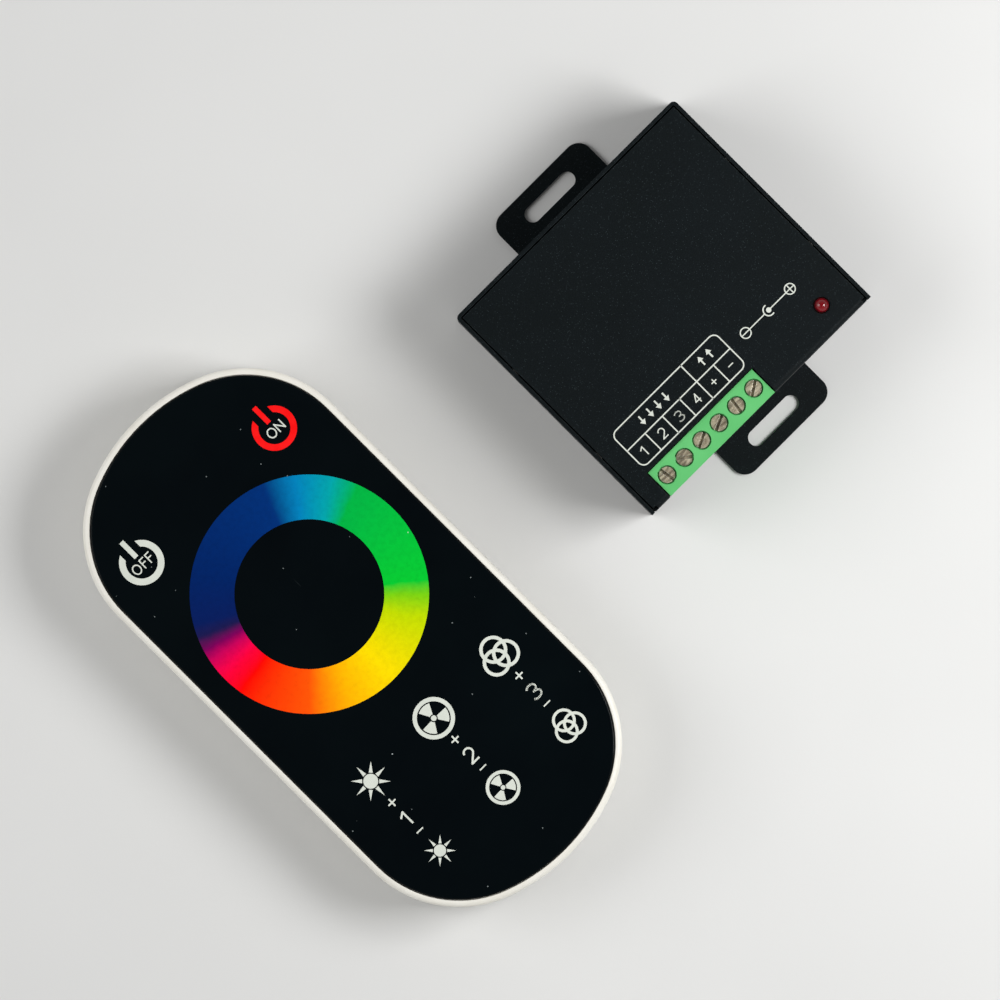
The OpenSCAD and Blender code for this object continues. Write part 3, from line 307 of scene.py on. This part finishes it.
looks = {
    "black_paint": black_paint(),
    "terminal_green": plain_look(
        "terminal_green", srgb(84, 176, 99), srgb(93, 183, 107), rough=(0.3, 0.46), patch=120, fine=2200,
        depth=0.006 * MM, edge=0.18 * MM, edge_tint=srgb(160, 236, 168), wear=0.5, Specular_IOR_Level=0.45),
    "black_plastic": plain_look(
        "black_plastic", srgb(22, 22, 24), srgb(30, 31, 33), rough=(0.38, 0.58), patch=200, fine=3500,
        depth=0.012 * MM, edge=0.15 * MM, edge_tint=srgb(70, 70, 72), wear=0.6),
    "board_green": circuit_board(),
    "screw_steel": plain_look(
        "screw_steel", srgb(168, 168, 164), srgb(142, 142, 140), rough=(0.22, 0.42), patch=900, fine=5200,
        depth=0.008 * MM, edge=0.12 * MM, edge_tint=srgb(222, 222, 218), wear=0.8, stretch=(1, 1, 4), Metallic=0.75),
    "terminal_nickel": terminal_nickel(),
    "contact_tin": plain_look(
        "contact_tin", srgb(196, 196, 194), srgb(172, 172, 172), rough=(0.22, 0.4), patch=500, fine=3000,
        depth=0.006 * MM, edge=0.08 * MM, edge_tint=srgb(222, 222, 220), wear=0.6, Metallic=0.95),
    "standoff_brass": plain_look(
        "standoff_brass", srgb(206, 170, 96), srgb(186, 148, 80), rough=(0.2, 0.36), patch=400, fine=2600,
        depth=0.006 * MM, edge=0.12 * MM, edge_tint=srgb(232, 204, 140), wear=0.6, stretch=(1, 1, 6), Metallic=0.95),
    "heat_metal": plain_look(
        "heat_metal", srgb(178, 180, 182), srgb(160, 162, 166), rough=(0.3, 0.45), patch=200, fine=2400,
        depth=0.008 * MM, edge=0.15 * MM, edge_tint=srgb(212, 214, 216), wear=0.6, stretch=(1, 9, 1), Metallic=0.95),
    "can_metal": plain_look(
        "can_metal", srgb(158, 160, 166), srgb(138, 140, 148), rough=(0.25, 0.42), patch=300, fine=2800,
        depth=0.006 * MM, edge=0.15 * MM, edge_tint=srgb(206, 208, 212), wear=0.6, Metallic=0.85),
    "antenna_copper": plain_look(
        "antenna_copper", srgb(196, 118, 72), srgb(172, 96, 58), rough=(0.2, 0.36), patch=500, fine=3000,
        depth=0.006 * MM, edge=0.1 * MM, edge_tint=srgb(226, 160, 116), wear=0.6, Metallic=0.95),
    "lamp_red": lamp_glass(),
    "ivory_plastic": plain_look(
        "ivory_plastic", srgb(224, 221, 211), srgb(230, 228, 220), rough=(0.3, 0.44), patch=110, fine=2600,
        depth=0.006 * MM, edge=0.25 * MM, edge_tint=srgb(204, 198, 184), wear=0.35, Specular_IOR_Level=0.5),
    "panel_black": touch_glass(),
    "cell_jacket": cell_jacket(),
}

# ---------------------------------------------------------------- thin printed geometry


class Print:
    """Thin raised ink, built as closed prisms on a flat face at the given centre and level."""

    def __init__(self, name, centre, level, material, body, slot, scale=1.0):
        self.name, self.centre, self.level, self.scale = name, centre, level, scale
        self.material, self.body, self.slot = material, body, slot
        self.mesh = bmesh.new()
        self.layer = 0

    def heights(self):
        """Top and base of the current layer, a little apart from its neighbours so that overlaps stay clean."""
        return (self.level + INK_HIGH + self.layer % 7 * INK_STEP) * MM, (self.level - INK_DEEP) * MM

    def prism(self, outline, layer=None):
        """A closed flat shape from its corners, in millimetres, counter-clockwise."""
        self.layer = layer or self.layer + 1
        top, base = self.heights()
        x0, y0 = self.centre
        flat = [((x0 + x * self.scale) * MM, (y0 + y * self.scale) * MM) for x, y in outline]
        upper = [self.mesh.verts.new((x, y, top)) for x, y in flat]
        lower = [self.mesh.verts.new((x, y, base)) for x, y in flat]
        self.mesh.faces.new(upper)
        self.mesh.faces.new(list(reversed(lower)))
        count = len(outline)
        for i in range(count):
            j = (i + 1) % count
            self.mesh.faces.new((lower[i], lower[j], upper[j], upper[i]))

    def disc(self, x, y, r, steps=40):
        self.prism([(x + r * math.cos(math.tau * k / steps), y + r * math.sin(math.tau * k / steps))
                    for k in range(steps)])

    def line(self, points, width, round_ends=True):
        """A line of even width through the points."""
        for (ax, ay), (bx, by) in zip(points, points[1:]):
            length = math.hypot(bx - ax, by - ay)
            nx, ny = -(by - ay) / length * width / 2, (bx - ax) / length * width / 2
            self.prism([(ax - nx, ay - ny), (bx - nx, by - ny), (bx + nx, by + ny), (ax + nx, ay + ny)])
        for x, y in points if round_ends else points[1:-1]:
            self.disc(x, y, width / 2, 16)

    def arc(self, x, y, inner, outer, start, end, steps=48):
        """Part of a ring between two angles in degrees, as one band of quads."""
        self.layer += 1
        top, base = self.heights()
        x0, y0 = self.centre
        full = end - start >= 360
        count = steps if full else steps + 1
        loops = []
        for k in range(count):
            a = math.radians(start + (end - start) * k / steps)
            corners = [(r, z) for r, z in ((inner, base), (outer, base), (outer, top), (inner, top))]
            loops.append([self.mesh.verts.new(((x0 + (x + r * math.cos(a)) * self.scale) * MM,
                                               (y0 + (y + r * math.sin(a)) * self.scale) * MM, z))
                          for r, z in corners])
        for k in range(count if full else count - 1):
            near, far = loops[k], loops[(k + 1) % count]
            for i in range(4):
                j = (i + 1) % 4
                self.mesh.faces.new((near[j], near[i], far[i], far[j]))
        if not full:
            self.mesh.faces.new(loops[0])
            self.mesh.faces.new(list(reversed(loops[-1])))

    def ring(self, x, y, r, width, steps=64):
        self.arc(x, y, r - width, r, 0, 360, steps)

    def open_ring(self, x, y, inner, outer, gap, steps=56):
        """A ring with a straight slot of the given width cut through its top."""
        cut = [math.asin(gap / 2 / r) for r in (inner, outer)]
        rim = []
        for r, first in ((inner, cut[0]), (outer, cut[1])):
            turns = [first + (math.tau - 2 * first) * k / steps for k in range(steps + 1)]
            rim.append([(x + r * math.sin(a), y + r * math.cos(a)) for a in turns])
        for k in range(steps):
            self.prism([rim[0][k + 1], rim[1][k + 1], rim[1][k], rim[0][k]], self.layer if k else None)

    def finish(self):
        bmesh.ops.recalc_face_normals(self.mesh, faces=self.mesh.faces)
        mesh = bpy.data.meshes.new(self.name)
        self.mesh.to_mesh(mesh)
        self.mesh.free()
        mesh.materials.append(self.material)
        piece = bpy.data.objects.new(self.name, mesh)
        bpy.context.scene.collection.objects.link(piece)
        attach(piece, self.body)


def arc_points(x, y, rx, ry, start, end, steps=14):
    return [(x + rx * math.cos(math.radians(start + (end - start) * k / steps)),
             y + ry * math.sin(math.radians(start + (end - start) * k / steps))) for k in range(steps + 1)]


def glyph(sign, x, y, h, w):
    """The strokes of a sign of height h and width w about its centre."""
    left, right, low, high = x - w / 2, x + w / 2, y - h / 2, y + h / 2
    if sign == "1":
        return [[(x - 0.55 * w, high - 0.26 * h), (x + 0.05 * w, high), (x + 0.05 * w, low)]]
    if sign == "2":
        return [arc_points(x, high - w / 2, w / 2, w / 2, 165, -35) + [(left, low), (right, low)]]
    if sign == "3":
        r = h / 4
        return [arc_points(x - 0.08 * w, high - r, 0.56 * w, r, 150, -90)
                + arc_points(x - 0.08 * w, low + r, 0.6 * w, r, 90, -150)]
    if sign == "4":
        return [[(x + 0.22 * w, low), (x + 0.22 * w, high), (left, low + 0.3 * h), (right, low + 0.3 * h)]]
    if sign == "O":
        return [arc_points(x, y, w / 2, h / 2, 0, 360, 32)]
    if sign == "N":
        return [[(left, low), (left, high), (right, low), (right, high)]]
    if sign == "F":
        middle = y + 0.04 * h
        return [[(right, high), (left, high), (left, low)], [(left, middle), (right - 0.16 * w, middle)]]
    if sign == "+":
        return [[(left, y), (right, y)], [(x, y - w / 2), (x, y + w / 2)]]
    return [[(left, y), (right, y)]]


def write(ink, sign, x, y, h, w, width, round_ends=False):
    for stroke in glyph(sign, x, y, h, w):
        ink.line(stroke, width, round_ends)


# ---------------------------------------------------------------- prints on the receiver

white_ink = plain_look("white_ink", srgb(205, 209, 200), srgb(196, 200, 190), (0.35, 0.5), 400, 3000,
                       0.004 * MM)
cover_print = Print("cover_print", RECEIVER, COVER_TOP, white_ink, "receiver", "ivory_plastic")

# The table over the terminals
LINE, FINE = 0.28, 0.25
left, right, low, high = -26.4, 3.8, -20.7, -11.15
corner = 1.45
digit_h, digit_w, nudge = 2.15, 1.35, 0.1
outline = []
for cx, cy, start in ((right - corner, high - corner, 0), (left + corner, high - corner, 90),
                      (left + corner, low + corner, 180), (right - corner, low + corner, 270)):
    outline += arc_points(cx, cy, corner, corner, start, start + 90, 8)
cover_print.line(outline + [outline[0]], LINE)
row_y, header_x = -15.85, -6.0
cover_print.line([(left, row_y), (right, row_y)], LINE)
cover_print.line([(header_x, row_y), (header_x, high)], LINE)
borders = [left, -21.15, -16.1, -11.05, header_x, -1.1, right]
for x in borders[1:-1]:
    cover_print.line([(x, low), (x, row_y)], LINE)
for x0, x1, sign in zip(borders, borders[1:], "1234+-"):
    write(cover_print, sign, (x0 + x1) / 2 + nudge, (low + row_y) / 2 - nudge, digit_h, digit_w, FINE)


def arrows(ink, x, y, count, way):
    """A row of arrows: out of the box with way -1, into it with way 1."""
    pitch, tail, shaft_w, head_w, head_low, tip = 2.3, 1.1, 0.36, 0.72, 0.1, 1.15
    shaft_end = 0.3
    for k in range(count):
        place = x + pitch * (k - (count - 1) / 2)
        ink.line([(place, y - tail * way), (place, y + shaft_end * way)], shaft_w, False)
        ink.prism([(place + head_w * way, y + head_low * way), (place, y + tip * way),
                   (place - head_w * way, y + head_low * way)])


header_y = (row_y + high) / 2
arrows(cover_print, (left + header_x) / 2, header_y, 4, -1)
arrows(cover_print, (header_x + right) / 2, header_y, 2, 1)

# Polarity of the power plug: minus outside, plus on the pin
polarity_y, minus_x, pin_x, plus_x = -15.9, 8.35, 15.1, 21.3
sign_r, stroke_w, pin_r, cup_inner, cup_outer, cup_reach = 1.25, 2.1, 0.55, 1.05, 1.32, 1.2
for x in (minus_x, plus_x):
    cover_print.ring(x, polarity_y, sign_r, FINE)
    write(cover_print, "+" if x == plus_x else "-", x, polarity_y, stroke_w, stroke_w, FINE)
cover_print.disc(pin_x, polarity_y, pin_r)
cover_print.arc(pin_x, polarity_y, cup_inner, cup_outer, 80, 290)
cover_print.line([(minus_x + sign_r, polarity_y), (pin_x - cup_reach, polarity_y)], FINE, False)
cover_print.line([(pin_x, polarity_y), (plus_x - sign_r, polarity_y)], FINE, False)
cover_print.finish()

# ---------------------------------------------------------------- prints on the touch panel

# The signs were drawn a little too large, and this brings them to size
SCALE = 0.9942
ring_print = Print("colour_ring_print", REMOTE, PANEL_TOP, colour_ring(), "remote", "panel_black")
ring_print.arc(RING_X, RING_Y, RING_INNER, RING_OUTER, 0, 360, steps=180)
ring_print.finish()

panel_ink = plain_look("panel_ink", srgb(205, 210, 200), srgb(214, 218, 208), (0.1, 0.2), 300, 2000,
                       0.002 * MM, Specular_IOR_Level=0.3)
red_ink = plain_look("red_ink", srgb(240, 14, 16), srgb(248, 30, 30), (0.1, 0.2), 300, 2000,
                     0.002 * MM, Specular_IOR_Level=0.3)
panel_print = Print("panel_print", REMOTE, PANEL_TOP, panel_ink, "remote", "panel_black", SCALE)
on_print = Print("on_print", REMOTE, PANEL_TOP, red_ink, "remote", "panel_black", SCALE)


def power_sign(ink, x, y):
    """Open ring with a bar through its gap."""
    bar_low, bar_high, bar_w = 1.54, 6.08, 1.1
    ink.open_ring(x, y, inner=3.36, outer=4.76, gap=4.24)
    ink.line([(x, y + bar_low), (x, y + bar_high)], bar_w, False)


LETTER_H, LETTER_LINE, LETTER_DROP = 2.05, 0.28, 0.37
ON_PLACE, OFF_PLACE = (19.32, 42.53), (-20.18, 42.27)
power_sign(on_print, *ON_PLACE)
power_sign(panel_print, *OFF_PLACE)
for sign, x, w in (("O", -1.1, 1.8), ("N", 1.15, 1.5)):
    write(panel_print, sign, ON_PLACE[0] + x, ON_PLACE[1] - LETTER_DROP, LETTER_H, w, LETTER_LINE, True)
for sign, x, w in (("O", -1.75, 1.7), ("F", 0.35, 1.05), ("F", 2.0, 1.05)):
    write(panel_print, sign, OFF_PLACE[0] + x, OFF_PLACE[1] - LETTER_DROP, LETTER_H, w, LETTER_LINE, True)


def sun(ink, x, y, disc_r, base, tip, base_w):
    ink.disc(x, y, disc_r)
    for k in range(8):
        a = math.radians(45 * k)
        c, s = math.cos(a), math.sin(a)
        ink.prism([(x + base * c + base_w / 2 * s, y + base * s - base_w / 2 * c), (x + tip * c, y + tip * s),
                   (x + base * c - base_w / 2 * s, y + base * s + base_w / 2 * c)])


def fan(ink, x, y, r, width):
    ink.ring(x, y, r, width)
    for a in (90, 210, 330):
        ink.arc(x, y, 0.19 * r, 0.735 * r, a - 28, a + 28, 14)
    ink.disc(x, y, 0.133 * r)


def three_rings(ink, x, y, r, width, out):
    for a in (90, 210, 330):
        ink.ring(x + out * math.cos(math.radians(a)), y + out * math.sin(math.radians(a)), r, width)


columns = (-18.65, 0.0, 18.92)
big_y, plus_y, digit_y, minus_y, small_y = -23.94, -30.23, -34.79, -38.47, -44.43
sun(panel_print, columns[0], big_y, disc_r=1.57, base=1.79, tip=4.2, base_w=0.86)
sun(panel_print, columns[0], small_y, disc_r=1.28, base=1.5, tip=3.37, base_w=0.66)
fan(panel_print, columns[1], big_y, r=4.45, width=0.9)
fan(panel_print, columns[1], small_y, r=3.64, width=0.72)
three_rings(panel_print, columns[2], -24.2, r=2.94, width=0.72, out=1.6)
three_rings(panel_print, columns[2], -44.87, r=2.49, width=0.6, out=1.38)
for x, sign in zip(columns, "123"):
    write(panel_print, "+", x, plus_y, h=2.0, w=2.0, width=0.36)
    write(panel_print, sign, x, digit_y, h=3.2, w=2.0, width=0.42)
    write(panel_print, "-", x, minus_y, h=1.8, w=1.8, width=0.3)
panel_print.finish()
on_print.finish()

# ---------------------------------------------------------------- finishes of the CAD nodes

def numbered(name, count):
    return ["%s_%d" % (name, i) for i in range(1, count + 1)]


node_slots = {
    "black_paint": ["base_tray", "top_cover"],
    "terminal_green": ["terminal_housing"],
    "black_plastic": ["jack_housing", "transistor_bodies", "control_chip", "voltage_regulator",
                      "radio_pin_strip", "radio_chip", "touch_chip", "sender_chip"],
    "board_green": ["main_board", "radio_board", "touch_board"],
    "screw_steel": ["cover_screws", "board_screws", "transistor_screws", "shell_screws"],
    "terminal_nickel": numbered("terminal_screw", 6),
    "contact_tin": ["terminal_contacts", "jack_pin_contact", "jack_sleeve_contact", "lamp_leads",
                    "transistor_leads", "radio_pins", "battery_springs", "battery_plates"]
                   + numbered("terminal_clamp", 6),
    "standoff_brass": ["board_standoffs"],
    "heat_metal": ["heat_spreader", "transistor_tabs"],
    "can_metal": ["capacitors", "crystal_can", "radio_can", "remote_crystal"],
    "antenna_copper": ["antenna_wire"],
    "lamp_red": ["lamp_lens"],
    "ivory_plastic": ["front_frame", "rear_shell", "battery_door"],
    "panel_black": ["touch_panel"],
    "cell_jacket": numbered("battery", 3),
}
for slot, names in node_slots.items():
    for name in names:
        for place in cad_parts[name].material_slots:
            place.material = looks[slot]

# ---------------------------------------------------------------- floor, light and camera

floor_look = Look("pale_floor")
floor_look.set("Base Color", floor_look.mix(floor_look.ramp(floor_look.noise(9, 3.0), 0.3, 0.7),
                                            (0.66, 0.66, 0.65, 1), (0.69, 0.69, 0.68, 1)))
floor_look.set("Roughness", floor_look.spread(floor_look.noise(30, 3.0), 0.75, 0.85))
floor_look.relief(floor_look.noise(1200, 3.0), 0.01 * MM)
shape = bmesh.new()
FLOOR_REACH, FLOOR_Z = 4.0, -0.05 * MM
shape.faces.new([shape.verts.new((x * FLOOR_REACH, y * FLOOR_REACH, FLOOR_Z))
                 for x, y in ((-1, -1), (1, -1), (1, 1), (-1, 1))])
floor_mesh = bpy.data.meshes.new("floor")
shape.to_mesh(floor_mesh)
shape.free()
floor_mesh.materials.append(floor_look.material)
floor = bpy.data.objects.new("floor", floor_mesh)
bpy.context.scene.collection.objects.link(floor)

world = bpy.data.worlds.new("studio")
bpy.context.scene.world = world
world.use_nodes = True
sky = world.node_tree
up = sky.nodes.new("ShaderNodeTexCoord").outputs["Generated"]
parts = sky.nodes.new("ShaderNodeSeparateXYZ")
sky.links.new(up, parts.inputs[0])
shade = sky.nodes.new("ShaderNodeValToRGB")
shade.color_ramp.elements[0].position = 0.0
shade.color_ramp.elements[0].color = (0.82, 0.82, 0.82, 1)
shade.color_ramp.elements[1].position = 1.0
shade.color_ramp.elements[1].color = (0.1, 0.1, 0.1, 1)
middle = shade.color_ramp.elements.new(0.55)
middle.color = (0.42, 0.42, 0.42, 1)
sky.links.new(parts.outputs["Z"], shade.inputs["Fac"])
sky.links.new(shade.outputs["Color"], sky.nodes["Background"].inputs["Color"])
sky.nodes["Background"].inputs["Strength"].default_value = 1.0


def soft_lamp(name, place, size, watts):
    lamp = bpy.data.lights.new(name, "AREA")
    lamp.shape = "SQUARE"
    lamp.size = size
    lamp.energy = watts
    item = bpy.data.objects.new(name, lamp)
    item.location = place
    item.rotation_euler = (-Vector(place)).to_track_quat("-Z", "Y").to_euler()
    bpy.context.scene.collection.objects.link(item)


soft_lamp("key_lamp", (0.28, -0.235, 0.42), size=0.26, watts=2.5)
soft_lamp("fill_lamp", (-0.7, 0.75, 0.9), size=0.9, watts=8.0)

# A long lens from straight above, turned so that the units lie as in the photograph
CAMERA_PLACE = (-5.46, -1.455, 3025)
CAMERA_LENS = 520.67
CAMERA_TURN = -45
camera_data = bpy.data.cameras.new("camera")
camera_data.type = "PERSP"
camera_data.sensor_width = 36
camera_data.lens = CAMERA_LENS
camera = bpy.data.objects.new("camera", camera_data)
camera.location = [v * MM for v in CAMERA_PLACE]
camera.rotation_euler = (0, 0, math.radians(CAMERA_TURN))
bpy.context.scene.collection.objects.link(camera)
bpy.context.scene.camera = camera
bpy.context.scene.view_settings.view_transform = "Standard"
